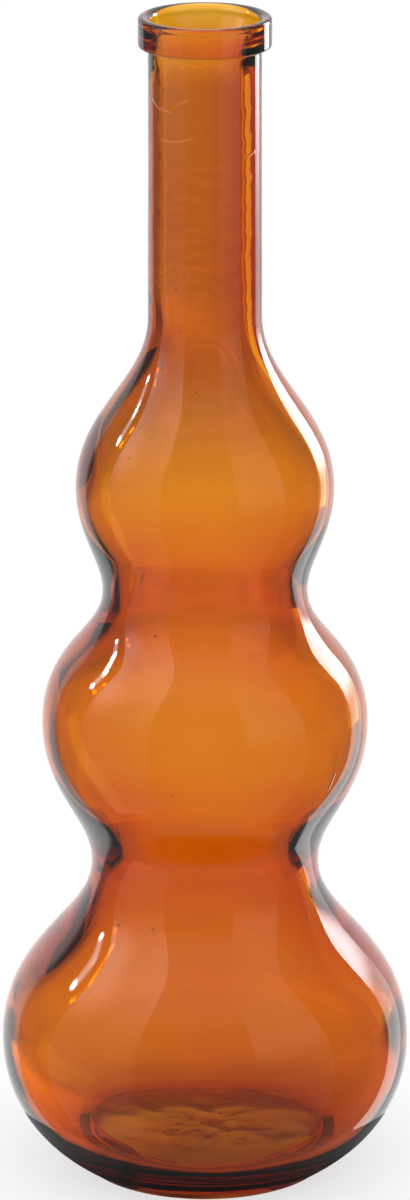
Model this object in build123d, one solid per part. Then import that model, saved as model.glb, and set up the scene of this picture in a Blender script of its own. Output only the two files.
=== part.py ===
from build123d import *
import os
from dataclasses import dataclass
from math import sqrt

# Gourd vase in amber glass: three bulbs of falling size stacked on a hollowed base,
# a long neck on top and a collared mouth.  Millimetres, +Z up, origin on the vase's
# axis at table level.

# Heights, stacked upwards from the table.
LOWER_BELLY_RISE = 46.1      # table to the lower bulb's widest level
LOWER_SHOULDER_RISE = 66.0   # on to the lower waist
MIDDLE_BELLY_RISE = 51.0     # on to the middle bulb's widest level
MIDDLE_SHOULDER_RISE = 48.5  # on to the upper waist
UPPER_BELLY_RISE = 37.0      # on to the upper bulb's widest level
UPPER_SHOULDER_RISE = 61.5   # on to the foot of the neck
NECK_LENGTH = 95.0           # on to the underside of the collar
COLLAR_HEIGHT = 10.5         # on to the top of the rim

# Outside radii.
LOWER_BULB_RADIUS = 71.9
LOWER_WAIST_RADIUS = 40.0
MIDDLE_BULB_RADIUS = 57.2
UPPER_WAIST_RADIUS = 35.8
UPPER_BULB_RADIUS = 45.0
NECK_FOOT_RADIUS = 19.75
NECK_TOP_RADIUS = 19.5
COLLAR_OVERHANG = 3.5        # collar beyond the top of the neck

# Radii of curvature of the outline, seen from the side, where the wall stands upright.
LOWER_BULB_CURVE = 56.8
LOWER_WAIST_CURVE = 26.0
MIDDLE_BULB_CURVE = 52.5
UPPER_WAIST_CURVE = 20.5
UPPER_BULB_CURVE = 43.0
SHOULDER_CURVE = 33.0        # where the upper bulb runs into the neck

# Glass thickness: the gather stays thick at the waists and thins where it is blown out.
LOWER_BULB_WALL = 4.8
LOWER_WAIST_WALL = 5.4
MIDDLE_BULB_WALL = 4.0
UPPER_WAIST_WALL = 5.1
UPPER_BULB_WALL = 3.6
NECK_WALL = 4.7              # at the top of the neck; the bore below the throat is straight
MOUTH_WALL = 4.4             # collar beside the mouth
FLOOR_THICKNESS = 2.6        # over the hollow under the base

# Base.
BEARING_RING_RADIUS = 43.0   # outer edge of the flat ring that stands on the table
BEARING_RING_WIDTH = 1.6
HEEL_RUN = 3.0               # length out of the slope at which the heel leaves the ring
HEEL_RISE = 2.95             # and its height
PUSH_UP_HEIGHT = 8.8         # hollow under the base
PUSH_UP_ROUND = 4.5          # width of the rounded edge of the hollow's roof
ROUND_EASE = 0.55            # share of a rounded edge that its curve runs on straight at either end
FLOOR_RADIUS = 46.0          # inside floor, before it turns up into the wall
FLOOR_RUN = 3.0              # how far the wall leaves the floor level
BASE_JOINT_RISE = 10.0       # top of the base section above the floor

# Rim.
NECK_TOP_ROUND = 1.2         # hollow corner under the collar
COLLAR_LOWER_ROUND = 0.9
COLLAR_UPPER_ROUND = 1.4
LIP_ROUND = 2.6              # fire-polished inner edge of the lip
THROAT_LENGTH = 26.0         # narrowing from the mouth to the bore
THROAT_EASE = 0.30           # share of the throat's length that its curve runs on upright at either end


@dataclass(frozen=True)
class Level:
    """A level where the wall stands upright: a bulb's widest part, a waist or the neck's foot."""

    radius: float
    height: float
    curve: float
    wall: float
    bulges: bool

    def inside(self):
        """The same level on the inner face, one wall further in and with a parallel curve."""
        curve = self.curve - self.wall if self.bulges else self.curve + self.wall
        return Level(self.radius - self.wall, self.height, curve, self.wall, self.bulges)


def at(radius, height):
    """A point of the side outline."""
    return Vector(radius, 0, height)


def reach(level, inset):
    """Length of the upright tangent that gives a curve the level's radius of curvature."""
    return sqrt(level.curve * abs(inset) / 1.5)


def flank(low, high):
    """Wall line between two levels, upright at both and of set curvature there."""
    inset = low.radius - high.radius
    return Bezier(
        at(low.radius, low.height),
        at(low.radius, low.height + reach(low, inset)),
        at(high.radius, high.height - reach(high, inset)),
        at(high.radius, high.height),
    )


def heel(edge, run, rise, level):
    """Wall line that leaves an edge at a set slope and turns up to a widest level."""
    drop = reach(level, level.radius - edge.X - run)
    return Bezier(
        edge,
        edge + at(run, rise),
        at(level.radius, level.height - drop),
        at(level.radius, level.height),
    )


def turned(*outline):
    """Solid of revolution about the vase's axis from a closed outline."""
    return revolve(make_face(outline), Axis.Z)


def bulb(foot, belly, top):
    """One bulb's glass, from the waist below it to the waist or neck above it."""
    return turned(
        flank(foot, belly),
        flank(belly, top),
        Line(at(top.radius, top.height), at(top.inside().radius, top.height)),
        flank(belly.inside(), top.inside()),
        flank(foot.inside(), belly.inside()),
        Line(at(foot.inside().radius, foot.height), at(foot.radius, foot.height)),
    )


# Levels of the wall, bottom to top.
bore_radius = NECK_TOP_RADIUS - NECK_WALL
height = LOWER_BELLY_RISE
lower_belly = Level(LOWER_BULB_RADIUS, height, LOWER_BULB_CURVE, LOWER_BULB_WALL, True)
height += LOWER_SHOULDER_RISE
lower_waist = Level(LOWER_WAIST_RADIUS, height, LOWER_WAIST_CURVE, LOWER_WAIST_WALL, False)
height += MIDDLE_BELLY_RISE
middle_belly = Level(MIDDLE_BULB_RADIUS, height, MIDDLE_BULB_CURVE, MIDDLE_BULB_WALL, True)
height += MIDDLE_SHOULDER_RISE
upper_waist = Level(UPPER_WAIST_RADIUS, height, UPPER_WAIST_CURVE, UPPER_WAIST_WALL, False)
height += UPPER_BELLY_RISE
upper_belly = Level(UPPER_BULB_RADIUS, height, UPPER_BULB_CURVE, UPPER_BULB_WALL, True)
height += UPPER_SHOULDER_RISE
neck_foot = Level(NECK_FOOT_RADIUS, height, SHOULDER_CURVE, NECK_FOOT_RADIUS - bore_radius, False)
collar_underside = height + NECK_LENGTH
rim_height = collar_underside + COLLAR_HEIGHT

# Lower vessel: push-up, bearing ring, heel and shoulder outside; floor and wall inside.
push_up_radius = BEARING_RING_RADIUS - BEARING_RING_WIDTH
roof_radius = push_up_radius - PUSH_UP_ROUND
floor_height = PUSH_UP_HEIGHT + FLOOR_THICKNESS
lower_vessel = turned(
    Line(at(0, PUSH_UP_HEIGHT), at(roof_radius, PUSH_UP_HEIGHT)),
    Bezier(
        at(roof_radius, PUSH_UP_HEIGHT),
        at(roof_radius + PUSH_UP_ROUND * ROUND_EASE, PUSH_UP_HEIGHT),
        at(push_up_radius, PUSH_UP_HEIGHT * ROUND_EASE),
        at(push_up_radius, 0),
    ),
    Line(at(push_up_radius, 0), at(BEARING_RING_RADIUS, 0)),
    heel(at(BEARING_RING_RADIUS, 0), HEEL_RUN, HEEL_RISE, lower_belly),
    flank(lower_belly, lower_waist),
    Line(at(lower_waist.radius, lower_waist.height), at(lower_waist.inside().radius, lower_waist.height)),
    flank(lower_belly.inside(), lower_waist.inside()),
    heel(at(FLOOR_RADIUS, floor_height), FLOOR_RUN, 0, lower_belly.inside()),
    Line(at(FLOOR_RADIUS, floor_height), at(0, floor_height)),
    Line(at(0, floor_height), at(0, PUSH_UP_HEIGHT)),
)
base_joint = Plane.XY.offset(floor_height + BASE_JOINT_RISE)
base = split(lower_vessel, bisect_by=base_joint, keep=Keep.BOTTOM)
lower_bulb = split(lower_vessel, bisect_by=base_joint, keep=Keep.TOP)

middle_bulb = bulb(lower_waist, middle_belly, upper_waist)
upper_bulb = bulb(upper_waist, upper_belly, neck_foot)

# Neck and collar: slightly tapered outside under a thick collar with softened edges; inside,
# the mouth narrows over a rounded lip and a curved throat to the straight bore.
collar_radius = NECK_TOP_RADIUS + COLLAR_OVERHANG
collar_shoulder = rim_height - COLLAR_UPPER_ROUND
mouth_radius = collar_radius - MOUTH_WALL
lip_foot = rim_height - LIP_ROUND
throat_foot = lip_foot - THROAT_LENGTH
bottle_top = turned(
    Line(at(NECK_FOOT_RADIUS, neck_foot.height), at(NECK_TOP_RADIUS, collar_underside - NECK_TOP_ROUND)),
    TangentArc(
        at(NECK_TOP_RADIUS, collar_underside - NECK_TOP_ROUND),
        at(NECK_TOP_RADIUS + NECK_TOP_ROUND, collar_underside),
        tangent=(0, 0, 1),
    ),
    Line(
        at(NECK_TOP_RADIUS + NECK_TOP_ROUND, collar_underside),
        at(collar_radius - COLLAR_LOWER_ROUND, collar_underside),
    ),
    TangentArc(
        at(collar_radius - COLLAR_LOWER_ROUND, collar_underside),
        at(collar_radius, collar_underside + COLLAR_LOWER_ROUND),
        tangent=(1, 0, 0),
    ),
    Line(at(collar_radius, collar_underside + COLLAR_LOWER_ROUND), at(collar_radius, collar_shoulder)),
    TangentArc(
        at(collar_radius, collar_shoulder),
        at(collar_radius - COLLAR_UPPER_ROUND, rim_height),
        tangent=(0, 0, 1),
    ),
    Line(at(collar_radius - COLLAR_UPPER_ROUND, rim_height), at(mouth_radius + LIP_ROUND, rim_height)),
    TangentArc(
        at(mouth_radius + LIP_ROUND, rim_height),
        at(mouth_radius, lip_foot),
        tangent=(-1, 0, 0),
    ),
    Bezier(
        at(mouth_radius, lip_foot),
        at(mouth_radius, lip_foot - THROAT_LENGTH * THROAT_EASE),
        at(bore_radius, throat_foot + THROAT_LENGTH * THROAT_EASE),
        at(bore_radius, throat_foot),
    ),
    Line(at(bore_radius, throat_foot), at(bore_radius, neck_foot.height)),
    Line(at(bore_radius, neck_foot.height), at(NECK_FOOT_RADIUS, neck_foot.height)),
)
collar_joint = Plane.XY.offset(collar_underside)
neck = split(bottle_top, bisect_by=collar_joint, keep=Keep.BOTTOM)
lip_collar = split(bottle_top, bisect_by=collar_joint, keep=Keep.TOP)

os.makedirs("parts", exist_ok=True)
export_step(lip_collar, "parts/lip_collar.step")
export_step(neck, "parts/neck.step")
export_step(upper_bulb, "parts/upper_bulb.step")
export_step(middle_bulb, "parts/middle_bulb.step")
export_step(lower_bulb, "parts/lower_bulb.step")
export_step(base, "parts/base.step")
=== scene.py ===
"""Looks of the amber glass gourd vase.

The glass is one closed mesh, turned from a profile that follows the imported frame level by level, with
the unevenness, bubbles and chill marks that mould-blown glass has.  It stands for all the frame's
sections and rides on their one body.  Metres, +Z up, the vase on the world axis and the camera on the
-Y side.
"""

import logging
import math
import random
from collections.abc import Iterator
from dataclasses import dataclass, field
from enum import Enum

import bmesh
import bpy
from mathutils import Matrix, Vector, noise


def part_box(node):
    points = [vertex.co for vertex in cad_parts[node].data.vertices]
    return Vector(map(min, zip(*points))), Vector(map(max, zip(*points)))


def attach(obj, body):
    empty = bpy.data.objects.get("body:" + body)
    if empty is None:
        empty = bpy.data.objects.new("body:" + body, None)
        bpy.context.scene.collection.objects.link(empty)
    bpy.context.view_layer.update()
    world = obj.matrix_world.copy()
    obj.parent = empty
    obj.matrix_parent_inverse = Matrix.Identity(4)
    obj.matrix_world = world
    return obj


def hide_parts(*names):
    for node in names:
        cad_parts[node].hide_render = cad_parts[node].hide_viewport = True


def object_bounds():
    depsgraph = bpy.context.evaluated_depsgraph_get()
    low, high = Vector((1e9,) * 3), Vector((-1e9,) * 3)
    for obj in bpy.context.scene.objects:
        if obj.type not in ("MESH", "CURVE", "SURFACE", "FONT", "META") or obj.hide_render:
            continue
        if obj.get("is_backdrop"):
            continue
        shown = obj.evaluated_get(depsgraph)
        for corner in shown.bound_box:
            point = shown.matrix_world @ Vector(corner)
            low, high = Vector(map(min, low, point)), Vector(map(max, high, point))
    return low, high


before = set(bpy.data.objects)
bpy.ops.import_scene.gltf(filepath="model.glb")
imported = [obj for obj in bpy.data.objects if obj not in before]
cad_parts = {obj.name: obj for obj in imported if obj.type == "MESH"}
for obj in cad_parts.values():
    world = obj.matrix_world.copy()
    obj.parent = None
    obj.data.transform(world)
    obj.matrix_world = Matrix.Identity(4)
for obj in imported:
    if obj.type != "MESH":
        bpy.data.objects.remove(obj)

log = logging.getLogger("gourd_vase")

MM = 0.001
BODY = "root"
WHITE = (1.0, 1.0, 1.0, 1.0)
SAME_LEVEL = 0.02 * MM  # a frame point this near to a height lies on it
CUBIC_END = 1.5  # a cubic's offset times its radius of curvature, over its squared end tangent
ARCH_TOP = 0.25  # greatest value of share * (1 - share)
WALL_CROSSED = 2.5  # rays that the inner face mirrors are bent twice; those that cross a wall, more often
LIGHT_BOUNCES = 32
MIRROR_BOUNCES = 12

Pair = tuple[float, float]
Triple = tuple[float, float, float]
Socket = bpy.types.NodeSocket
Vertex = bmesh.types.BMVert
Value = Socket | float


class Skin(Enum):
    """The faces of the glass; the rim and the bearing ring stay true."""

    UNDERSIDE = "underside"
    OUTSIDE = "outside"
    RIM = "rim"
    INSIDE = "inside"
    FLOOR = "floor"


@dataclass(frozen=True)
class ProfilePoint:
    """A point of the side profile: its distance from the axis, its height and its face."""

    radius: float
    height: float
    skin: Skin


@dataclass(frozen=True)
class Level:
    """A level where the wall stands upright: a bulb's widest part, a waist or the foot of the neck."""

    radius: float
    height: float
    curve: float
    wall: float
    bulges: bool

    def inside(self) -> "Level":
        """The same level on the inner face, one wall further in and with a parallel curve."""
        curve = self.curve - self.wall if self.bulges else self.curve + self.wall
        return Level(self.radius - self.wall, self.height, curve, self.wall, self.bulges)

    def reach(self, inset: float) -> float:
        """Length of the upright tangent that gives the level its radius of curvature."""
        return math.sqrt(self.curve * abs(inset) / CUBIC_END)


def ring_radii(node: str, height: float) -> Pair:
    """Least and greatest distance from the axis of a frame node's points at one height.

    Args:
        node: The frame node's name.
        height: The height to look at, in metres.

    Returns:
        The inner and the outer radius there.
    """
    points = [vertex.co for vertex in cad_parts[node].data.vertices]
    near = [point.xy.length for point in points if abs(point.z - height) < SAME_LEVEL]
    return min(near), max(near)


def ease(value: float, start: float, end: float) -> float:
    """A smooth step from 0 at the start to 1 at the end."""
    share = min(max((value - start) / (end - start), 0.0), 1.0)
    return share * share * (3.0 - 2.0 * share)


def bezier(points: list[Pair], steps: int) -> Iterator[Pair]:
    """Points along a cubic Bezier curve, without its last end.

    Args:
        points: The four control points, as radius and height.
        steps: How many points to give.

    Returns:
        The points, evenly spread in the curve's parameter.
    """
    a, b, c, d = (Vector(p) for p in points)
    for step in range(steps):
        t = step / steps
        s = 1.0 - t
        point = a * s**3 + b * (3 * s * s * t) + c * (3 * s * t * t) + d * t**3
        yield point.x, point.y


def straight(start: Pair, end: Pair, steps: int) -> Iterator[Pair]:
    """Points of a straight run, without its last end.

    Args:
        start: Its first end, as radius and height.
        end: Its last end.
        steps: How many points to give.

    Returns:
        The points, evenly spaced.
    """
    for step in range(steps):
        share = step / steps
        yield start[0] + (end[0] - start[0]) * share, start[1] + (end[1] - start[1]) * share


def arc(centre: Pair, radius: float, start: float, end: float, steps: int) -> Iterator[Pair]:
    """Points of an arc, without its last end.

    Args:
        centre: Its centre, as radius and height.
        radius: Its radius.
        start: The angle where it starts, in degrees.
        end: The angle where it ends.
        steps: How many points to give.

    Returns:
        The points, evenly spaced.
    """
    for step in range(steps):
        angle = math.radians(start + (end - start) * step / steps)
        yield centre[0] + radius * math.cos(angle), centre[1] + radius * math.sin(angle)


def lay(skin: Skin, *runs: Iterator[Pair]) -> Iterator[ProfilePoint]:
    """The points of some runs, in order, as points of one face."""
    return (ProfilePoint(radius, height, skin) for run in runs for radius, height in run)


@dataclass
class VaseProfile:
    """The glass's side profile, from the centre of the push-up, over the rim, to the centre of the floor.

    Heights, outside radii and the waists' walls come from the frame; curvatures and the other walls are
    those of the solids.
    """

    lower_curve: float = 56.8 * MM
    lower_waist_curve: float = 26.0 * MM
    middle_curve: float = 52.5 * MM
    upper_waist_curve: float = 20.5 * MM
    upper_curve: float = 43.0 * MM
    shoulder_curve: float = 33.0 * MM
    lower_belly_height: float = 46.1 * MM
    middle_belly_height: float = 163.1 * MM
    upper_belly_height: float = 248.6 * MM
    lower_wall: float = 4.8 * MM
    middle_wall: float = 4.0 * MM
    upper_wall: float = 3.6 * MM
    bearing_outer: float = 43.0 * MM
    bearing_inner: float = 41.4 * MM
    heel_run: float = 3.0 * MM
    heel_rise: float = 2.95 * MM
    push_up: float = 8.8 * MM
    push_up_round: float = 1.2 * MM
    push_up_ease: float = 0.55
    floor_height: float = 11.4 * MM
    floor_radius: float = 46.0 * MM
    floor_run: float = 3.0 * MM
    neck_top_round: float = 1.2 * MM
    collar_lower_round: float = 0.9 * MM
    collar_upper_round: float = 1.4 * MM
    mouth: float = 18.6 * MM
    mouth_round: float = 2.6 * MM
    throat_length: float = 26.0 * MM
    throat_upper_ease: float = 0.10
    throat_lower_ease: float = 0.60
    roof_steps: int = 30
    roof_edge_steps: int = 24
    ring_steps: int = 5
    flank_steps: int = 56
    neck_steps: int = 120
    neck_top_steps: int = 6
    collar_under_steps: int = 5
    collar_lower_steps: int = 7
    collar_side_steps: int = 14
    collar_upper_steps: int = 9
    collar_top_steps: int = 3
    mouth_steps: int = 14
    throat_steps: int = 30
    floor_steps: int = 60
    levels: list[Level] = field(default_factory=list)

    def __post_init__(self) -> None:
        """Read the levels, the neck and the collar from the frame."""
        self.rim_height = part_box("lip_collar")[1].z
        self.collar_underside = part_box("lip_collar")[0].z
        self.collar_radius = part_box("lip_collar")[1].x
        self.neck_top = ring_radii("neck", self.collar_underside)[1] - self.neck_top_round
        self.levels = [
            self.belly("lower_bulb", self.lower_belly_height, self.lower_curve, self.lower_wall),
            self.waist("middle_bulb", self.lower_waist_curve),
            self.belly("middle_bulb", self.middle_belly_height, self.middle_curve, self.middle_wall),
            self.waist("upper_bulb", self.upper_waist_curve),
            self.belly("upper_bulb", self.upper_belly_height, self.upper_curve, self.upper_wall),
            self.waist("neck", self.shoulder_curve),
        ]
        self.bore = self.levels[-1].inside().radius

    @staticmethod
    def belly(node: str, height: float, curve: float, wall: float) -> Level:
        """The widest level of a bulb, with its frame node's radius."""
        return Level(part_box(node)[1].x, height, curve, wall, True)

    @staticmethod
    def waist(node: str, curve: float) -> Level:
        """The level at the foot of a frame node, with that node's radius and wall.

        Args:
            node: The frame node's name.
            curve: The outline's radius of curvature there.

        Returns:
            The level.
        """
        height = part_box(node)[0].z
        inner, outer = ring_radii(node, height)
        return Level(outer, height, curve, outer - inner, False)

    @staticmethod
    def flank(low: Level, high: Level) -> list[Pair]:
        """Control points of the wall line between two levels, upright at both.

        Args:
            low: The lower level.
            high: The upper level.

        Returns:
            The four control points, from the bottom up.
        """
        inset = low.radius - high.radius
        return [
            (low.radius, low.height),
            (low.radius, low.height + low.reach(inset)),
            (high.radius, high.height - high.reach(inset)),
            (high.radius, high.height),
        ]

    @staticmethod
    def heel(edge: Pair, run: float, rise: float, level: Level) -> list[Pair]:
        """Control points of the wall line that leaves an edge at a slope and turns up to a widest level.

        Args:
            edge: The edge, as radius and height.
            run: Length out of the slope.
            rise: Its height.
            level: The widest level.

        Returns:
            The four control points, from the bottom up.
        """
        radius, height = edge
        drop = level.reach(level.radius - radius - run)
        return [
            edge,
            (radius + run, height + rise),
            (level.radius, level.height - drop),
            (level.radius, level.height),
        ]

    def outside(self) -> Iterator[ProfilePoint]:
        """The underside and the outer face, up to the corner under the collar.

        Returns:
            The points, from the axis outwards and up.
        """
        ring, top = self.bearing_inner, self.push_up
        roof = ring - self.push_up_round
        brow = roof + self.push_up_round * self.push_up_ease
        edge = [(roof, top), (brow, top), (ring, top * self.push_up_ease), (ring, 0)]
        bearing = (self.bearing_outer, 0)
        walls = [self.heel(bearing, self.heel_run, self.heel_rise, self.levels[0])]
        walls += [self.flank(low, high) for low, high in zip(self.levels, self.levels[1:])]
        foot = (self.levels[-1].radius, self.levels[-1].height)
        head = (self.neck_top, self.collar_underside - self.neck_top_round)
        yield from lay(Skin.UNDERSIDE, straight((0, top), (roof, top), self.roof_steps))
        yield from lay(Skin.UNDERSIDE, bezier(edge, self.roof_edge_steps))
        yield from lay(Skin.RIM, straight((ring, 0), bearing, self.ring_steps))
        yield from lay(Skin.OUTSIDE, *(bezier(wall, self.flank_steps) for wall in walls))
        yield from lay(Skin.OUTSIDE, straight(foot, head, self.neck_steps))

    def rim(self) -> Iterator[ProfilePoint]:
        """The hollow corner under the collar, the collar and the rounded lip of the mouth.

        Returns:
            The points, from the neck up and inwards.
        """
        under, top, out = self.collar_underside, self.rim_height, self.collar_radius
        low, high, lip = self.collar_lower_round, self.collar_upper_round, self.mouth_round
        hollow, edge = self.neck_top_round, self.mouth + self.mouth_round
        corner = self.neck_top + hollow
        return lay(
            Skin.RIM,
            arc((corner, under - hollow), hollow, 180, 90, self.neck_top_steps),
            straight((corner, under), (out - low, under), self.collar_under_steps),
            arc((out - low, under + low), low, -90, 0, self.collar_lower_steps),
            straight((out, under + low), (out, top - high), self.collar_side_steps),
            arc((out - high, top - high), high, 0, 90, self.collar_upper_steps),
            straight((out - high, top), (edge, top), self.collar_top_steps),
            arc((edge, top - lip), lip, 90, 180, self.mouth_steps),
        )

    def inside(self) -> Iterator[ProfilePoint]:
        """The inner face, from the mouth down, and the floor.

        Returns:
            The points, from the lip down and inwards to the axis.
        """
        inner = [level.inside() for level in self.levels]
        lip = self.rim_height - self.mouth_round
        end = lip - self.throat_length
        throat = [
            (self.mouth, lip),
            (self.mouth, lip - self.throat_length * self.throat_upper_ease),
            (self.bore, end + self.throat_length * self.throat_lower_ease),
            (self.bore, end),
        ]
        foot = (inner[-1].radius, inner[-1].height)
        edge = (self.floor_radius, self.floor_height)
        walls = [self.flank(low, high)[::-1] for low, high in zip(inner, inner[1:])][::-1]
        walls.append(self.heel(edge, self.floor_run, 0.0, inner[0])[::-1])
        yield from lay(Skin.INSIDE, bezier(throat, self.throat_steps))
        yield from lay(Skin.INSIDE, straight((self.bore, end), foot, self.neck_steps))
        yield from lay(Skin.INSIDE, *(bezier(wall, self.flank_steps) for wall in walls))
        yield from lay(Skin.FLOOR, straight(edge, (0, self.floor_height), self.floor_steps))

    def points(self) -> list[ProfilePoint]:
        """The whole profile, from axis to axis."""
        last = ProfilePoint(0.0, self.floor_height, Skin.FLOOR)
        return [*self.outside(), *self.rim(), *self.inside(), last]

    def outer_radius(self, height: float) -> float:
        """Distance of the outer face from the axis at one height, up to the collar."""
        below = [p for p in self.outside() if p.skin is Skin.OUTSIDE and p.height <= height]
        return max(below, key=lambda point: point.height).radius


@dataclass(frozen=True)
class Wave:
    """One scale of unevenness: how far the glass strays, and the size of its waves across and upright."""

    amount: float
    across: float
    upright: float

    def at(self, place: Vector, seed: Vector) -> float:
        """The wave's height at a point."""
        spot = Vector((place.x / self.across, place.y / self.across, place.z / self.upright))
        return self.amount * noise.noise(spot + seed)


@dataclass(frozen=True)
class Swell:
    """A slow change of the wall about one height: how much thicker it is in front, left and right.

    Behind, it is as in front.  A sharper one keeps more to the sides.
    """

    height: float
    spread: float
    front: float
    left: float
    right: float
    sharp: float = 1.0

    def at(self, place: Vector) -> float:
        """The added thickness at a point.

        Args:
            place: The point, off the axis.

        Returns:
            The thickness, in metres; less than nothing where the wall is thinner.
        """
        away = (place.z - self.height) / self.spread
        side = place.x / place.xy.length
        flank = self.left if side < 0 else self.right
        return (self.front + abs(side) ** self.sharp * (flank - self.front)) * math.exp(-away * away)


@dataclass(frozen=True)
class Unevenness:
    """How far the glass strays from its true profile: slow waves, more of them inside than outside.

    The waves die out at the bearing ring and the collar, and run into each other where faces meet.
    """

    collar: float
    lip: float
    neck_foot: float
    floor_radius: float
    seed: Vector = Vector((3.1, 7.4, 1.9))
    calm: float = 6.0 * MM
    blend: float = 14.0 * MM
    pucker: float = 19.0 * MM
    bore_drift: float = -0.85 * MM
    push_up_edge: Pair = (26.0 * MM, 39.0 * MM)
    push_up_wave: Wave = Wave(4.5 * MM, 19 * MM, 19 * MM)
    outside: tuple[Wave, ...] = (
        Wave(0.12 * MM, 60 * MM, 60 * MM),
        Wave(0.03 * MM, 18 * MM, 18 * MM),
        Wave(0.006 * MM, 6 * MM, 6 * MM),
    )
    bore: tuple[Wave, ...] = (
        Wave(0.30 * MM, 30 * MM, 40 * MM),
        Wave(0.08 * MM, 9 * MM, 7 * MM),
        Wave(0.08 * MM, 8 * MM, 2.8 * MM),
    )
    inside: tuple[Wave, ...] = (
        Wave(0.40 * MM, 45 * MM, 45 * MM),
        Wave(0.10 * MM, 18 * MM, 18 * MM),
        Wave(0.012 * MM, 6 * MM, 6 * MM),
    )
    floor: tuple[Wave, ...] = (
        Wave(1.0 * MM, 26 * MM, 26 * MM),
        Wave(0.25 * MM, 8 * MM, 8 * MM),
    )
    underside: tuple[Wave, ...] = (
        Wave(0.8 * MM, 24 * MM, 24 * MM),
        Wave(0.2 * MM, 8 * MM, 8 * MM),
    )
    puckers: tuple[Wave, ...] = (
        Wave(0.7 * MM, 7 * MM, 7 * MM),
        Wave(0.3 * MM, 3 * MM, 3 * MM),
    )
    swells: tuple[Swell, ...] = (
        Swell(83 * MM, 16 * MM, front=0.4 * MM, left=3.3 * MM, right=1.4 * MM, sharp=6.0),
        Swell(86 * MM, 16 * MM, front=0.0, left=-1.3 * MM, right=0.0),
        Swell(58 * MM, 24 * MM, front=0.0, left=-1.5 * MM, right=-0.3 * MM),
        Swell(120 * MM, 9 * MM, front=0.0, left=1.8 * MM, right=1.8 * MM, sharp=4.0),
        Swell(140 * MM, 15 * MM, front=-0.3 * MM, left=-0.3 * MM, right=-0.3 * MM),
        Swell(180 * MM, 14 * MM, front=0.35 * MM, left=0.0, right=0.0),
        Swell(198 * MM, 12 * MM, front=0.4 * MM, left=0.9 * MM, right=0.6 * MM, sharp=2.0),
        Swell(250 * MM, 20 * MM, front=0.2 * MM, left=-0.1 * MM, right=-0.1 * MM),
        Swell(257 * MM, 9 * MM, front=0.0, left=1.3 * MM, right=0.0, sharp=12.0),
    )

    def total(self, waves: tuple[Wave, ...], place: Vector) -> float:
        """The sum of some waves at a point."""
        return sum(wave.at(place, self.seed) for wave in waves)

    def bowl(self, place: Vector) -> float:
        """The inner face of the bulbs: its waves and the swells of the wall."""
        return self.total(self.inside, place) + sum(swell.at(place) for swell in self.swells)

    def tube(self, place: Vector) -> float:
        """The bore of the neck: its waves and its drift to one side."""
        return self.total(self.bore, place) - self.bore_drift * place.x / place.xy.length

    def middle(self, place: Vector) -> float:
        """The puckered middle of the floor and of the underside."""
        return self.total(self.puckers, place) * math.exp(-place.xy.length_squared / self.pucker**2)

    def spread(self, place: Vector, skin: Skin) -> float:
        """Distance to move a point outwards: the edge of the push-up isn't quite round.

        Args:
            place: The point on the true profile.
            skin: The face that it lies on.

        Returns:
            The distance, in metres.
        """
        if skin is not Skin.UNDERSIDE:
            return 0.0
        start, end = self.push_up_edge
        spot = Vector((place.x, place.y, 0)).normalized() * end
        share = ease(place.xy.length, start, end) * ease(place.z, 0.0, self.calm)
        return share * self.push_up_wave.at(spot, self.seed)

    def shift(self, place: Vector, skin: Skin) -> float:
        """Distance to move a point along its normal, which makes the glass thicker.

        Args:
            place: The point on the true profile.
            skin: The face that it lies on.

        Returns:
            The distance, in metres.
        """
        height = place.z
        if skin is Skin.OUTSIDE:
            calm = ease(height, 0.0, self.calm) * ease(height, self.collar, self.collar - self.calm)
            return calm * self.total(self.outside, place)
        if skin is Skin.UNDERSIDE:
            calm = ease(height, 0.0, self.calm)
            return calm * (self.total(self.underside, place) + self.middle(place))
        if skin is Skin.INSIDE:
            neck = ease(height, self.neck_foot - self.blend, self.neck_foot + self.blend)
            bowl = self.bowl(place) if neck < 1.0 else 0.0
            bore = self.tube(place) if neck > 0.0 else 0.0
            return ease(height, self.lip, self.lip - self.blend) * (bowl + (bore - bowl) * neck)
        if skin is Skin.FLOOR:
            flat = self.total(self.floor, place) + self.middle(place)
            edge = ease(place.xy.length, self.floor_radius - self.blend, self.floor_radius)
            return flat + (self.bowl(place) - flat) * edge if edge > 0.0 else flat
        return 0.0


@dataclass(frozen=True)
class Bubble:
    """A small air bubble in the wall: its angle from the camera's side, its height, depth and radius."""

    angle: float
    height: float
    depth: float
    radius: float


@dataclass(frozen=True)
class Bubbles:
    """The bubbles of the glass: those that can be made out from the front, and small ones all round."""

    shown: tuple[Bubble, ...] = (
        Bubble(-47.0, 392.8 * MM, 1.2 * MM, 0.30 * MM),
        Bubble(-31.4, 323.5 * MM, 1.0 * MM, 0.35 * MM),
        Bubble(-25.7, 308.9 * MM, 1.2 * MM, 0.28 * MM),
        Bubble(-40.3, 267.4 * MM, 1.0 * MM, 0.40 * MM),
        Bubble(-39.6, 295.4 * MM, 1.0 * MM, 0.35 * MM),
        Bubble(-11.6, 153.8 * MM, 1.0 * MM, 0.35 * MM),
        Bubble(-27.8, 204.2 * MM, 1.0 * MM, 0.40 * MM),
        Bubble(-43.5, 98.0 * MM, 1.0 * MM, 0.50 * MM),
        Bubble(-25.1, 99.2 * MM, 1.0 * MM, 0.40 * MM),
    )
    more: int = 60
    heights: Pair = (30 * MM, 385 * MM)
    depths: Pair = (0.7 * MM, 2.6 * MM)
    radii: Pair = (0.10 * MM, 0.30 * MM)
    fineness: int = 2
    seed: int = 11

    def all(self) -> list[Bubble]:
        """Every bubble, the same in each run."""
        pick = random.Random(self.seed)
        return [*self.shown, *(self.one(pick) for _ in range(self.more))]

    def one(self, pick: random.Random) -> Bubble:
        """A small bubble somewhere in the wall."""
        angle, height = pick.uniform(-180, 180), pick.uniform(*self.heights)
        return Bubble(angle, height, pick.uniform(*self.depths), pick.uniform(*self.radii))


@dataclass(frozen=True)
class Fade:
    """A smooth change from a first level to a last one, between two places."""

    start: float
    end: float
    first: float
    last: float


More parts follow.
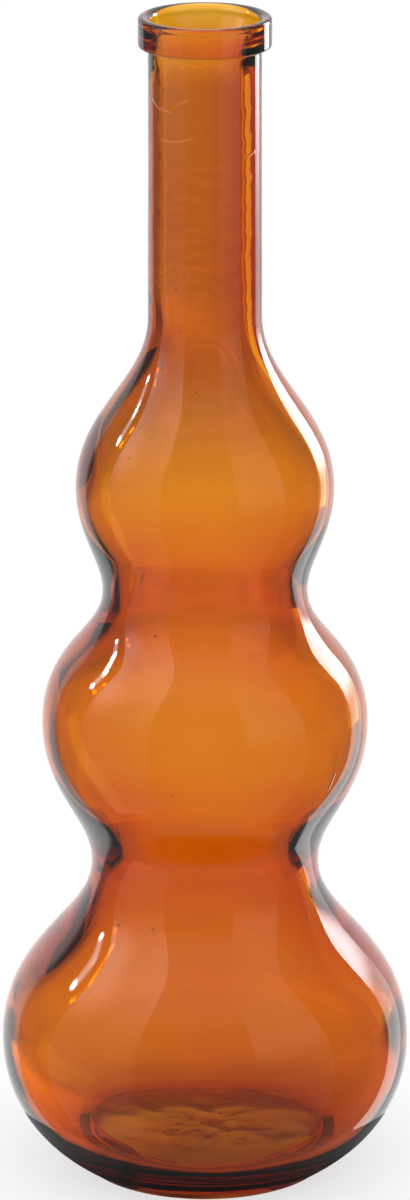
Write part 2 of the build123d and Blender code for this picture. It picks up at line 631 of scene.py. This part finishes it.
class Graph:
    """A shader's nodes, with short ways to add to them."""

    def __init__(self, tree: bpy.types.NodeTree) -> None:
        """Keep the node tree."""
        self.tree = tree

    def node(self, kind: str) -> bpy.types.Node:
        """Add a node of a kind."""
        return self.tree.nodes.new(kind)

    def surface(self) -> Socket:
        """The material's surface input."""
        return self.tree.nodes["Material Output"].inputs["Surface"]

    def join(self, value: Value, socket: Socket) -> None:
        """Link a socket to an input, or set a number on it.

        Args:
            value: The socket or the number.
            socket: The input.
        """
        if isinstance(value, (int, float)):
            socket.default_value = value
        else:
            self.tree.links.new(value, socket)

    def calc(self, operation: str, *values: Value) -> Socket:
        """One step of arithmetic.

        Args:
            operation: The Math node's operation.
            values: Its inputs, as sockets or numbers.

        Returns:
            The result's socket.
        """
        node = self.node("ShaderNodeMath")
        node.operation = operation
        for value, socket in zip(values, node.inputs):
            self.join(value, socket)
        return node.outputs["Value"]

    def product(self, first: Value, *others: Value) -> Value:
        """The product of some values.

        Args:
            first: The first value.
            others: The values to multiply it by.

        Returns:
            The result's socket.
        """
        for other in others:
            first = self.calc("MULTIPLY", first, other)
        return first

    def length(self, first: Socket, second: Socket) -> Socket:
        """Length of a vector from its two parts."""
        square = self.calc("MULTIPLY", second, second)
        return self.calc("SQRT", self.calc("MULTIPLY_ADD", first, first, square))

    def between(self, share: Value, none: Value, full: Value) -> Socket:
        """A value between two others, by a share from 0 to 1."""
        return self.calc("MULTIPLY_ADD", share, self.calc("SUBTRACT", full, none), none)

    def vector(self, operation: str, first: Socket, second: Socket) -> bpy.types.Node:
        """One step of arithmetic on vectors.

        Args:
            operation: The Vector Math node's operation.
            first: Its first vector.
            second: Its second vector.

        Returns:
            The node, which holds the result as a vector or as a value.
        """
        node = self.node("ShaderNodeVectorMath")
        node.operation = operation
        self.join(first, node.inputs[0])
        self.join(second, node.inputs[1])
        return node

    def scaled(self, vector: Socket, factor: Socket) -> Socket:
        """A vector times a number.

        Args:
            vector: The vector.
            factor: The number.

        Returns:
            The result's socket.
        """
        node = self.node("ShaderNodeVectorMath")
        node.operation = "SCALE"
        self.join(vector, node.inputs["Vector"])
        self.join(factor, node.inputs["Scale"])
        return node.outputs["Vector"]

    def parts(self, kind: str) -> list[Socket]:
        """The three parts of a texture coordinate.

        Args:
            kind: The coordinate's name.

        Returns:
            Its X, Y and Z.
        """
        split = self.node("ShaderNodeSeparateXYZ")
        self.join(self.node("ShaderNodeTexCoord").outputs[kind], split.inputs["Vector"])
        return list(split.outputs)

    def fade(self, value: Socket, change: Fade) -> Socket:
        """A smooth change of level along a value.

        Args:
            value: What the change follows.
            change: Where it starts and ends, and its levels.

        Returns:
            The level's socket.
        """
        node = self.node("ShaderNodeMapRange")
        node.interpolation_type = "SMOOTHSTEP"
        self.join(value, node.inputs["Value"])
        self.join(change.start, node.inputs["From Min"])
        self.join(change.end, node.inputs["From Max"])
        self.join(change.first, node.inputs["To Min"])
        self.join(change.last, node.inputs["To Max"])
        return node.outputs["Result"]

    def glow(self, strength: Value, colour: Triple = WHITE[:3]) -> Socket:
        """A light of some strength and colour.

        Args:
            strength: How strongly it shines.
            colour: Its colour.

        Returns:
            The light's socket.
        """
        light = self.node("ShaderNodeEmission")
        light.inputs["Color"].default_value = (*colour, 1.0)
        self.join(strength, light.inputs["Strength"])
        return light.outputs["Emission"]


@dataclass(frozen=True)
class Crease:
    """A fine chill mark: its ends as an angle and a height, its bow and the radius that it lies on."""

    start: Pair
    end: Pair
    bow: float
    radius: float
    width: float = 0.38 * MM

    def spot(self, end: Pair) -> Vector:
        """The place of one of its ends on the unrolled glass."""
        return Vector((math.radians(end[0]) * self.radius, end[1], 0))


@dataclass(frozen=True)
class CreaseShape:
    """The node group that raises one crease along a bowed line on the unrolled glass."""

    name: str = "crease"
    reach: Fade = Fade(1.2 * MM, 1.8 * MM, 1.0, 0.0)
    numbers: tuple[str, ...] = ("Angle", "Height", "Distance", "Radius", "Width")
    vectors: tuple[str, ...] = ("Start", "Run", "Share", "Bow")

    def build(self) -> bpy.types.NodeTree:
        """Build the group.

        Returns:
            The group; it puts out the crease's height, from 0 to 1.
        """
        group = bpy.data.node_groups.new(self.name, "ShaderNodeTree")
        for name in self.numbers:
            group.interface.new_socket(name, in_out="INPUT", socket_type="NodeSocketFloat")
        for name in self.vectors:
            group.interface.new_socket(name, in_out="INPUT", socket_type="NodeSocketVector")
        group.interface.new_socket("Crease", in_out="OUTPUT", socket_type="NodeSocketFloat")
        graph = Graph(group)
        given = graph.node("NodeGroupInput").outputs
        spot = graph.node("ShaderNodeCombineXYZ")
        graph.join(graph.calc("MULTIPLY", given["Angle"], given["Radius"]), spot.inputs["X"])
        graph.join(given["Height"], spot.inputs["Y"])
        off = graph.vector("SUBTRACT", spot.outputs["Vector"], given["Start"]).outputs["Vector"]
        share = graph.vector("DOT_PRODUCT", off, given["Share"]).outputs["Value"]
        share = graph.calc("MAXIMUM", graph.calc("MINIMUM", share, 1.0), 0.0)
        arch = graph.calc("MULTIPLY", share, graph.calc("SUBTRACT", 1.0, share))
        run, bow = graph.scaled(given["Run"], share), graph.scaled(given["Bow"], arch)
        line = graph.vector("ADD", run, bow).outputs["Vector"]
        away = graph.vector("DISTANCE", off, line).outputs["Value"]
        away = graph.calc("DIVIDE", away, given["Width"])
        ridge = graph.calc("EXPONENT", graph.product(away, away, -1.0))
        depth = graph.calc("ABSOLUTE", graph.calc("SUBTRACT", given["Distance"], given["Radius"]))
        ridge = graph.calc("MULTIPLY", ridge, graph.fade(depth, self.reach))
        graph.join(ridge, graph.node("NodeGroupOutput").inputs["Crease"])
        return group


@dataclass(frozen=True)
class AmberGlass:
    """Clear amber glass, coloured through its thickness: smooth, with a faint ripple and chill marks.

    Under the push-up it is slightly dull.
    """

    name: str = "amber_glass"
    ior: float = 1.52
    loss_per_mm: Triple = (0.058, 0.219, 0.83)
    dull_height: Fade = Fade(9.2 * MM, 9.6 * MM, 0.3, 0.0)
    dull_radius: Fade = Fade(38.0 * MM, 41.0 * MM, 1.0, 0.0)
    ripple_height: float = 0.004 * MM
    ripple_size: float = 3.5 * MM
    ripple_detail: float = 1.0
    crease_height: float = 0.14 * MM
    creases: tuple[Crease, ...] = (
        Crease((-65.0, 388.8 * MM), (-35.0, 385.4 * MM), -1.1 * MM, 19.5 * MM),
        Crease((-30.0, 388.1 * MM), (-17.0, 390.2 * MM), 0.0, 19.5 * MM),
        Crease((-48.5, 375.1 * MM), (-14.0, 376.9 * MM), -0.8 * MM, 19.5 * MM),
        Crease((-23.6, 400.8 * MM), (-19.3, 402.3 * MM), 0.0, 19.5 * MM),
        Crease((-15.0, 402.4 * MM), (2.0, 402.6 * MM), -1.0 * MM, 19.5 * MM),
        Crease((45.6, 369.5 * MM), (58.6, 370.4 * MM), 0.0, 19.6 * MM),
        Crease((-50.0, 327.8 * MM), (-36.0, 331.6 * MM), -0.4 * MM, 19.7 * MM, 0.4 * MM),
        Crease((-7.0, 405.6 * MM), (-7.0, 412.0 * MM), 0.0, 23.0 * MM, 0.35 * MM),
        Crease((173.0, 404.0 * MM), (173.0, 412.0 * MM), 0.0, 18.3 * MM, 0.35 * MM),
        Crease((51.0, 146.6 * MM), (53.0, 154.6 * MM), 0.5 * MM, 56.6 * MM, 0.4 * MM),
    )

    def material(self) -> bpy.types.Material:
        """Build the material.

        Returns:
            The glass, with its colour in a plain volume absorption.
        """
        made = bpy.data.materials.new(self.name)
        made.use_nodes = True
        graph = Graph(made.node_tree)
        shader = made.node_tree.nodes["Principled BSDF"]
        shader.inputs["Base Color"].default_value = WHITE
        shader.inputs["IOR"].default_value = self.ior
        shader.inputs["Transmission Weight"].default_value = 1.0
        side, back, height = graph.parts("Object")
        distance = graph.length(side, back)
        angle = graph.calc("ARCTAN2", side, graph.calc("MULTIPLY", back, -1.0))
        bump = graph.node("ShaderNodeBump")
        bump.inputs["Distance"].default_value = 1.0
        relief = graph.calc("ADD", self.ripple(graph), self.chill(graph, angle, height, distance))
        graph.join(relief, bump.inputs["Height"])
        graph.join(bump.outputs["Normal"], shader.inputs["Normal"])
        dull = graph.product(graph.fade(height, self.dull_height), graph.fade(distance, self.dull_radius))
        graph.join(dull, shader.inputs["Roughness"])
        self.colour(graph)
        return made

    def colour(self, graph: Graph) -> None:
        """Colour the glass through its thickness.

        Args:
            graph: The material's nodes.
        """
        depth = graph.node("ShaderNodeVolumeAbsorption")
        strongest = max(self.loss_per_mm)
        tint = [1.0 - loss / strongest for loss in self.loss_per_mm]
        depth.inputs["Density"].default_value = strongest / MM
        depth.inputs["Color"].default_value = (*tint, 1.0)
        graph.join(depth.outputs["Volume"], graph.tree.nodes["Material Output"].inputs["Volume"])

    def ripple(self, graph: Graph) -> Socket:
        """The faint ripple of the surface.

        Args:
            graph: The material's nodes.

        Returns:
            Its height, in metres.
        """
        noisy = graph.node("ShaderNodeTexNoise")
        noisy.inputs["Scale"].default_value = 1.0 / self.ripple_size
        noisy.inputs["Detail"].default_value = self.ripple_detail
        graph.join(graph.node("ShaderNodeTexCoord").outputs["Object"], noisy.inputs["Vector"])
        return graph.calc("MULTIPLY", noisy.outputs["Fac"], self.ripple_height)

    def chill(self, graph: Graph, angle: Socket, height: Socket, distance: Socket) -> Socket:
        """The chill marks and mould seams.

        Args:
            graph: The material's nodes.
            angle: Angle from the camera's side.
            height: Height over the table.
            distance: Distance from the axis.

        Returns:
            The height of all creases together, in metres.
        """
        group = CreaseShape().build()
        total = 0.0
        for crease in self.creases:
            node = graph.node("ShaderNodeGroup")
            node.node_tree = group
            start = crease.spot(crease.start)
            run = crease.spot(crease.end) - start
            across = Vector((-run.y, run.x, 0)).normalized()
            node.inputs["Start"].default_value = start
            node.inputs["Run"].default_value = run
            node.inputs["Share"].default_value = run / run.length_squared
            node.inputs["Bow"].default_value = across * (crease.bow / ARCH_TOP)
            node.inputs["Radius"].default_value = crease.radius
            node.inputs["Width"].default_value = crease.width
            graph.join(angle, node.inputs["Angle"])
            graph.join(height, node.inputs["Height"])
            graph.join(distance, node.inputs["Distance"])
            total = graph.calc("ADD", node.outputs["Crease"], total)
        return graph.calc("MULTIPLY", total, self.crease_height)


@dataclass
class GlassBody:
    """The vase itself: one closed glass mesh turned from the profile."""

    profile: VaseProfile
    uneven: Unevenness
    bubbles: Bubbles
    finish: AmberGlass
    name: str = "glass_body"
    segments: int = 216

    def build(self) -> bpy.types.Object:
        """Turn the profile into a closed mesh with uneven faces and bubbles in its wall.

        Returns:
            The glass object, in the frame's place.
        """
        points = self.profile.points()
        mesh = bmesh.new()
        rings = []
        for index, point in enumerate(points):
            before, after = points[max(index - 1, 0)], points[min(index + 1, len(points) - 1)]
            along = Vector((after.radius - before.radius, after.height - before.height)).normalized()
            turns = range(self.segments if point.radius else 1)
            rings.append([mesh.verts.new(self.place(point, along, turn)) for turn in turns])
        for low, high in zip(rings, rings[1:]):
            self.band(mesh, low, high)
        bmesh.ops.recalc_face_normals(mesh, faces=mesh.faces)
        for bubble in self.bubbles.all():
            self.blow(mesh, bubble)
        data = bpy.data.meshes.new(self.name)
        mesh.to_mesh(data)
        mesh.free()
        data.shade_smooth()
        glass = bpy.data.objects.new(self.name, data)
        bpy.context.scene.collection.objects.link(glass)
        return glass

    def blow(self, mesh: bmesh.types.BMesh, bubble: Bubble) -> None:
        """Add a bubble, its faces turned inwards as air in the glass.

        Args:
            mesh: The glass.
            bubble: The bubble.
        """
        angle = math.radians(bubble.angle)
        out = self.profile.outer_radius(bubble.height) - bubble.depth
        spot = Matrix.Translation((math.sin(angle) * out, -math.cos(angle) * out, bubble.height))
        made = bmesh.ops.create_icosphere(
            mesh, subdivisions=self.bubbles.fineness, radius=bubble.radius, matrix=spot
        )
        faces = {face for vertex in made["verts"] for face in vertex.link_faces}
        bmesh.ops.reverse_faces(mesh, faces=list(faces))

    def place(self, point: ProfilePoint, along: Vector, turn: int) -> Vector:
        """One point of a ring, moved by the glass's unevenness.

        Args:
            point: The point of the profile.
            along: The profile's direction there.
            turn: The point's number in its ring.

        Returns:
            Its place.
        """
        angle = math.tau * turn / self.segments
        out = Vector((math.cos(angle), math.sin(angle), 0))
        true = out * point.radius + Vector((0, 0, point.height))
        normal = out * along.y + Vector((0, 0, -along.x))
        away = out * self.uneven.spread(true, point.skin)
        return true + normal * self.uneven.shift(true, point.skin) + away

    @staticmethod
    def band(mesh: bmesh.types.BMesh, low: list[Vertex], high: list[Vertex]) -> None:
        """Add the faces between two neighbouring rings.

        Args:
            mesh: The glass.
            low: The points of one ring, or the single point on the axis.
            high: The points of the next ring, or the single point on the axis.
        """
        count = max(len(low), len(high))
        for turn in range(count):
            onward = (turn + 1) % count
            if len(low) == 1:
                mesh.faces.new((low[0], high[turn], high[onward]))
            elif len(high) == 1:
                mesh.faces.new((low[turn], low[onward], high[0]))
            else:
                mesh.faces.new((low[turn], low[onward], high[onward], high[turn]))

    def dress(self, glass: bpy.types.Object) -> None:
        """Give the glass its finish and its place in the frame.

        Args:
            glass: The glass object.
        """
        glass.data.materials.append(self.finish.material())
        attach(glass, BODY)
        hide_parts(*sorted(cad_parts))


def flat_sheet(name: str, corners: list[Triple]) -> bpy.types.Object:
    """Make a flat sheet of the studio.

    Args:
        name: Its name.
        corners: Its corners, in order.

    Returns:
        The sheet, in the scene.
    """
    data = bpy.data.meshes.new(name)
    data.from_pydata(corners, [], [range(len(corners))])
    sheet = bpy.data.objects.new(name, data)
    bpy.context.scene.collection.objects.link(sheet)
    sheet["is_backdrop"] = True
    return sheet


def only_in_glass(sheet: bpy.types.Object) -> Graph:
    """Hide a sheet from all but the glass, and begin its light.

    Args:
        sheet: The sheet.

    Returns:
        The nodes of its material, with nothing on the surface yet.
    """
    sheet.visible_camera = False
    sheet.visible_diffuse = False
    sheet.visible_shadow = False
    made = bpy.data.materials.new(sheet.name)
    made.use_nodes = True
    made.node_tree.nodes.remove(made.node_tree.nodes["Principled BSDF"])
    sheet.data.materials.append(made)
    return Graph(made.node_tree)


def shine(graph: Graph, strength: Socket, through: Triple | None = None) -> None:
    """Finish a lamp's light, which the glass mirrors on its outer and on its inner face.

    Args:
        graph: The nodes of its material.
        strength: How strongly it shines.
        through: Its light as bent rays see it; without one, rays that cross the wall pass it by.
    """
    path = graph.node("ShaderNodeLightPath").outputs
    if through:
        share, other = path["Is Transmission Ray"], graph.glow(1.0, through)
    else:
        share = graph.calc("GREATER_THAN", path["Transmission Depth"], WALL_CROSSED)
        other = graph.node("ShaderNodeBsdfTransparent").outputs["BSDF"]
    mix = graph.node("ShaderNodeMixShader")
    for value, socket in zip((share, graph.glow(strength), other), mix.inputs):
        graph.join(value, socket)
    graph.join(mix.outputs["Shader"], graph.surface())


def beside_vase(azimuth: float, distance: float, height: float) -> Vector:
    """A place beside the vase; azimuth 0 is the camera's side and 90 is to its right."""
    angle = math.radians(azimuth)
    return Vector((math.sin(angle) * distance, -math.cos(angle) * distance, height))


@dataclass(frozen=True)
class SoftPanel:
    """An upright soft light panel beside the vase.

    Its glow changes from the foot up, and it may have a brighter spot where its lamp stands behind it.
    """

    name: str
    azimuth: float
    distance: float
    width: float
    low: float
    high: float
    glow: Fade
    spot: Fade | None = None
    spot_across: float = 0.0
    spot_high: float = 0.0
    through: Triple | None = None

    def build(self) -> None:
        """Place the panel and light it."""
        x, low, high = self.width / 2, self.low, self.high
        panel = flat_sheet(self.name, [(-x, 0, low), (x, 0, low), (x, 0, high), (-x, 0, high)])
        panel.location = beside_vase(self.azimuth, self.distance, 0)
        panel.rotation_euler.z = math.radians(self.azimuth)
        graph = only_in_glass(panel)
        across, _, up = graph.parts("Object")
        glow = graph.fade(up, self.glow)
        if self.spot:
            side = graph.calc("SUBTRACT", across, self.spot_across)
            rise = graph.calc("SUBTRACT", up, self.spot_high)
            glow = graph.calc("ADD", glow, graph.fade(graph.length(side, rise), self.spot))
        shine(graph, glow, self.through)


@dataclass(frozen=True)
class BareLamp:
    """A narrow upright lamp, brighter at two spots, that shows only as a glint in the glass."""

    name: str
    azimuth: float
    distance: float
    height: float
    width: float
    length: float
    glow: float
    spot_glow: float
    spot_radius: float
    spot_apart: float
    aim: float = 0.2

    def build(self) -> None:
        """Place the lamp so that it faces the vase, and light it."""
        x, y = self.width / 2, self.length / 2
        lamp = flat_sheet(self.name, [(-x, -y, 0), (x, -y, 0), (x, y, 0), (-x, y, 0)])
        lamp.location = beside_vase(self.azimuth, self.distance, self.height)
        facing = Vector((0, 0, self.aim)) - lamp.location
        lamp.rotation_euler = facing.to_track_quat("Z", "Y").to_euler()
        graph = only_in_glass(lamp)
        across, along, _ = (graph.calc("ABSOLUTE", part) for part in graph.parts("Object"))
        spot = self.spot_apart / 2
        glow = graph.product(
            graph.fade(across, Fade(0.0, x, self.glow, 0.0)),
            graph.fade(along, Fade(spot, y, 1.0, 0.0)),
        )
        away = graph.length(across, graph.calc("SUBTRACT", along, spot))
        spots = graph.fade(away, Fade(0.0, self.spot_radius, self.spot_glow, 0.0))
        shine(graph, graph.calc("ADD", glow, spots))


@dataclass(frozen=True)
class FootShade:
    """The shaded table round the foot, which only the glass mirrors."""

    name: str = "shade"
    radius: float = 78 * MM
    lift: float = 0.02 * MM
    glow: Fade = Fade(46 * MM, 78 * MM, 0.03, 0.3)
    corners: int = 48

    def build(self) -> None:
        """Lay the shade on the table."""
        turns = [math.tau * corner / self.corners for corner in range(self.corners)]
        edge = [(self.radius * math.cos(turn), self.radius * math.sin(turn), self.lift) for turn in turns]
        shade = flat_sheet(self.name, edge)
        shade.visible_transmission = False
        graph = only_in_glass(shade)
        side, rear, _ = graph.parts("Object")
        graph.join(graph.glow(graph.fade(graph.length(side, rear), self.glow)), graph.surface())


@dataclass(frozen=True)
class PaleFloor:
    """A wide pale floor, white to the camera apart from the shadow on it.

    Rays that the glass bends see painted shade on it to the sides behind the vase, round the foot and from
    about a metre off, and painted light round the vase, under the rear of its base, at the sides of the
    foot and just outside the heel, the last two in place of light that the glass gathers there.  Sides are
    told by
    the turn: the distance to the right over the distance from the axis.
    """

    name: str = "floor"
    size: float = 12.0
    albedo: float = 0.92
    albedo_seen: float = 0.35
    glow_seen: float = 0.68
    # Painted shade that bent rays see in the left and right sectors behind the vase, clear of the foot.
    left: Fade = Fade(-0.58, -0.5, 1.0, 0.0)
    left_painted_shade: Fade = Fade(0.3, 1.4, -0.97, -0.4)
    right: Fade = Fade(0.5, 0.58, 0.0, 1.0)
    right_painted_shade: Fade = Fade(0.3, 1.2, -0.95, 0.1)
    painted_shade_side: Fade = Fade(0.09, 0.125, 0.0, 1.0)
    painted_shade_rear: Fade = Fade(0.07, 0.11, 0.0, 1.0)
    # Painted shadow round the foot, and painted shade from about a metre off that lightens again further
    # out.
    foot: Fade = Fade(0.05, 0.095, 0.6, 1.0)
    painted_far_shade: Fade = Fade(1.1, 1.5, 1.0, 0.88)
    painted_horizon_light: Fade = Fade(1.6, 4.0, 1.0, 1.15)
    # Painted light at the left and right sides of the foot.
    painted_light_left: Fade = Fade(-0.88, -0.75, 1.0, 0.0)
    painted_light_right: Fade = Fade(0.75, 0.88, 0.0, 0.25)
    painted_light_reach: Fade = Fade(0.15, 0.2, 1.0, 0.0)
    # Painted light round the vase, out to about a metre.
    painted_light_pool: Fade = Fade(0.7, 1.2, 0.33, 0.0)
    # Painted light under the rear of the base, inside the bearing ring.
    under: Fade = Fade(0.0415, 0.0435, 1.0, 0.0)
    painted_light_under_rear: Fade = Fade(-0.03, 0.03, 0.0, 0.2)
    # Painted light on a ring just outside the heel, in place of light that the glass gathers there.
    heel: Fade = Fade(0.0435, 0.0455, 0.0, 1.0)
    painted_heel_light: Fade = Fade(0.055, 0.085, 0.3, 0.0)

    def build(self) -> None:
        """Lay the floor and paint it."""
        half = self.size / 2
        edge = [(-half, -half, 0), (half, -half, 0), (half, half, 0), (-half, half, 0)]
        floor = flat_sheet(self.name, edge)
        floor.visible_glossy = False
        made = bpy.data.materials.new("pale_floor")
        made.use_nodes = True
        floor.data.materials.append(made)
        graph = Graph(made.node_tree)
        shader = made.node_tree.nodes["Principled BSDF"]
        shader.inputs["Roughness"].default_value = 1.0
        shader.inputs["Specular IOR Level"].default_value = 0.0
        shader.inputs["Emission Color"].default_value = WHITE
        path = graph.node("ShaderNodeLightPath").outputs
        bent, seen = path["Is Transmission Ray"], path["Is Camera Ray"]
        side, rear, _ = graph.parts("Object")
        away = graph.length(side, rear)
        shade = self.shade(graph, side, rear, away)
        paint = graph.between(seen, self.albedo, self.albedo_seen)
        # Bent rays see the paint times the painted shade.
        graph.join(graph.product(graph.between(bent, 1.0, shade), paint), shader.inputs["Base Color"])
        # Bent rays also see the painted light; camera rays see an even glow that keeps the floor white.
        light = graph.product(bent, self.light(graph, rear, away, shade))
        light = graph.calc("MULTIPLY_ADD", seen, self.glow_seen, light)
        graph.join(light, shader.inputs["Emission Strength"])

    def shade(self, graph: Graph, side: Socket, rear: Socket, away: Socket) -> Socket:
        """Painted shade and painted light with which bent rays see the floor.

        Args:
            graph: The material's nodes.
            side: Distance to the right.
            rear: Distance behind the vase.
            away: Distance from the axis.

        Returns:
            The shade, by which the paint is multiplied.
        """
        turn = graph.calc("DIVIDE", side, away)
        # Painted shade in the left and right sectors behind the vase, clear of the foot.
        left = graph.product(graph.fade(turn, self.left), graph.fade(away, self.left_painted_shade))
        right = graph.product(graph.fade(turn, self.right), graph.fade(away, self.right_painted_shade))
        painted_shade_reach = graph.product(
            graph.fade(graph.calc("ABSOLUTE", side), self.painted_shade_side),
            graph.fade(rear, self.painted_shade_rear),
        )
        shade = graph.calc("MULTIPLY_ADD", graph.calc("ADD", left, right), painted_shade_reach, 1.0)
        # Painted shadow round the foot and painted shade further out, lightened again at the edge of the
        # floor.
        shade = graph.product(shade, *(graph.fade(away, f) for f in (self.foot, self.painted_far_shade, self.painted_horizon_light)))
        # Painted light at the sides of the foot.
        beside = graph.calc("ADD", graph.fade(turn, self.painted_light_left), graph.fade(turn, self.painted_light_right))
        beside = graph.product(beside, graph.fade(away, self.painted_light_reach))
        return graph.calc("MULTIPLY_ADD", shade, beside, shade)

    def light(self, graph: Graph, rear: Socket, away: Socket, shade: Socket) -> Socket:
        """Painted light that bent rays see on the floor: wide round the vase, and at its foot in place of
        light the glass gathers.

        Args:
            graph: The material's nodes.
            rear: Distance behind the vase.
            away: Distance from the axis.
            shade: How light or dark the floor is.

        Returns:
            The light's strength.
        """
        # Painted light under the rear of the base.
        under = graph.product(graph.fade(away, self.under), graph.fade(rear, self.painted_light_under_rear))
        # Painted light on a ring just outside the heel.
        heel = graph.product(graph.fade(away, self.heel), graph.fade(away, self.painted_heel_light))
        # Painted light round the vase.
        painted_light_pool = graph.fade(away, self.painted_light_pool)
        return graph.calc("MULTIPLY_ADD", shade, painted_light_pool, graph.calc("ADD", under, heel))


@dataclass(frozen=True)
class PaleRoom:
    """White surroundings; what the glass mirrors or bends is white behind the vase and dim elsewhere.

    Directions are told by the parts of a unit vector: to the right, to the rear and up.
    """

    name: str = "studio"
    mirrored_rear: Fade = Fade(0.62, 0.7, 0.25, 1.05)
    mirrored_front: Fade = Fade(-0.4, 0.0, 0.36, 0.0)
    mirrored_table: Fade = Fade(-0.9, -0.7, -0.05, 0.0)
    mirrored_ceiling: Fade = Fade(0.55, 0.9, 0.0, 0.3)
    bent_rear: Fade = Fade(0.0, 0.6, 0.4, 1.0)
    bent_left: Fade = Fade(-0.42, -0.3, 0.03, 1.0)
    bent_right: Fade = Fade(0.3, 0.6, 1.0, 0.6)

    def build(self) -> None:
        """Make the surroundings the scene's world."""
        world = bpy.data.worlds.new(self.name)
        bpy.context.scene.world = world
        world.use_nodes = True
        graph = Graph(world.node_tree)
        background = world.node_tree.nodes["Background"]
        background.inputs["Color"].default_value = WHITE
        side, rear, up = graph.parts("Generated")
        level = graph.length(side, rear)
        swing, turn = graph.calc("DIVIDE", side, level), graph.calc("DIVIDE", rear, level)
        walls = graph.calc(
            "MAXIMUM", graph.fade(turn, self.mirrored_rear), graph.fade(turn, self.mirrored_front)
        )
        ends = graph.calc("ADD", graph.fade(up, self.mirrored_table), graph.fade(up, self.mirrored_ceiling))
        mirrored = graph.calc("ADD", walls, ends)
        bent = graph.product(
            graph.fade(turn, self.bent_rear),
            graph.fade(swing, self.bent_left),
            graph.fade(swing, self.bent_right),
        )
        path = graph.node("ShaderNodeLightPath").outputs
        glass = graph.between(path["Is Transmission Ray"], mirrored, bent)
        touched = graph.calc("MAXIMUM", path["Is Glossy Ray"], path["Is Transmission Ray"])
        graph.join(graph.between(touched, 1.0, glass), background.inputs["Strength"])


@dataclass(frozen=True)
class Studio:
    """Pale floor with painted shade and painted light for bent rays, a painted shadow round the foot that
    only the glass mirrors, pale surroundings and soft lamps.
    """

    floor: PaleFloor = PaleFloor()
    shade: FootShade = FootShade()
    room: PaleRoom = PaleRoom()
    panel_left: SoftPanel = SoftPanel(
        "panel_left",
        azimuth=-66,
        distance=0.55,
        width=0.56,
        low=-0.6,
        high=1.3,
        glow=Fade(0.1, 1.1, 0.5, 1.7),
        spot=Fade(0.0, 0.3, 1.3, 0.0),
        spot_across=-0.26,
        spot_high=0.55,
    )
    panel_right: SoftPanel = SoftPanel(
        "panel_right",
        azimuth=50,
        distance=0.55,
        width=0.46,
        low=-0.6,
        high=1.3,
        glow=Fade(0.1, 0.3, 0.4, 0.72),
    )
    strip_right: SoftPanel = SoftPanel(
        "strip_right",
        azimuth=131,
        distance=0.7,
        width=0.24,
        low=-0.6,
        high=0.7,
        glow=Fade(0.15, 0.32, 2.0, 9.0),
        through=(1.9, 4.4, 5.0),
    )
    lamp_left: BareLamp = BareLamp(
        "lamp_left",
        azimuth=-105,
        distance=1.4,
        height=0.98,
        width=0.2,
        length=0.44,
        glow=4.5,
        spot_glow=70.0,
        spot_radius=0.07,
        spot_apart=0.24,
    )

    def build(self) -> None:
        """Make the floor, the surroundings and the lamps."""
        self.floor.build()
        self.shade.build()
        self.room.build()
        for lamp in (self.panel_left, self.panel_right, self.strip_right, self.lamp_left):
            lamp.build()
            log.info("studio: %s", lamp.name)


@dataclass(frozen=True)
class Viewpoint:
    """The camera, a little above the vase and level with its axis."""

    place: Triple = (0.0, -2.418, 0.9516)
    pitch: float = 17.108
    lens: float = 217.4
    sensor: float = 36.0

    def build(self) -> None:
        """Make the camera and set it as the scene's."""
        data = bpy.data.cameras.new("camera")
        data.sensor_width = self.sensor
        data.lens = self.lens
        camera = bpy.data.objects.new("camera", data)
        camera.location = self.place
        camera.rotation_euler.x = math.radians(90 - self.pitch)
        bpy.context.scene.collection.objects.link(camera)
        bpy.context.scene.camera = camera


def corners(box: tuple[Vector, Vector]) -> list[list[float]]:
    """A box's two corners as plain lists."""
    return [list(corner) for corner in box]


def main() -> None:
    """Build and dress the vase, then the studio round it, and take the bounds of the frame and of the vase.
    """
    logging.basicConfig(level=logging.INFO, format="%(name)s: %(message)s")
    cad_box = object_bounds()
    scene = bpy.context.scene
    scene.view_settings.view_transform = "Standard"
    scene.cycles.max_bounces = LIGHT_BOUNCES
    scene.cycles.transmission_bounces = LIGHT_BOUNCES
    scene.cycles.glossy_bounces = MIRROR_BOUNCES
    profile = VaseProfile()
    uneven = Unevenness(
        collar=profile.collar_underside,
        lip=profile.rim_height - profile.mouth_round,
        neck_foot=profile.levels[-1].height,
        floor_radius=profile.floor_radius,
    )
    body = GlassBody(profile, uneven, Bubbles(), AmberGlass())
    glass = body.build()
    body.dress(glass)
    log.info("%s: %d faces, %d bubbles", glass.name, len(glass.data.polygons), len(body.bubbles.all()))
    Studio().build()
    Viewpoint().build()
    {"cad": corners(cad_box), "visual": corners(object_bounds())}


if __name__ == "__main__":
    main()
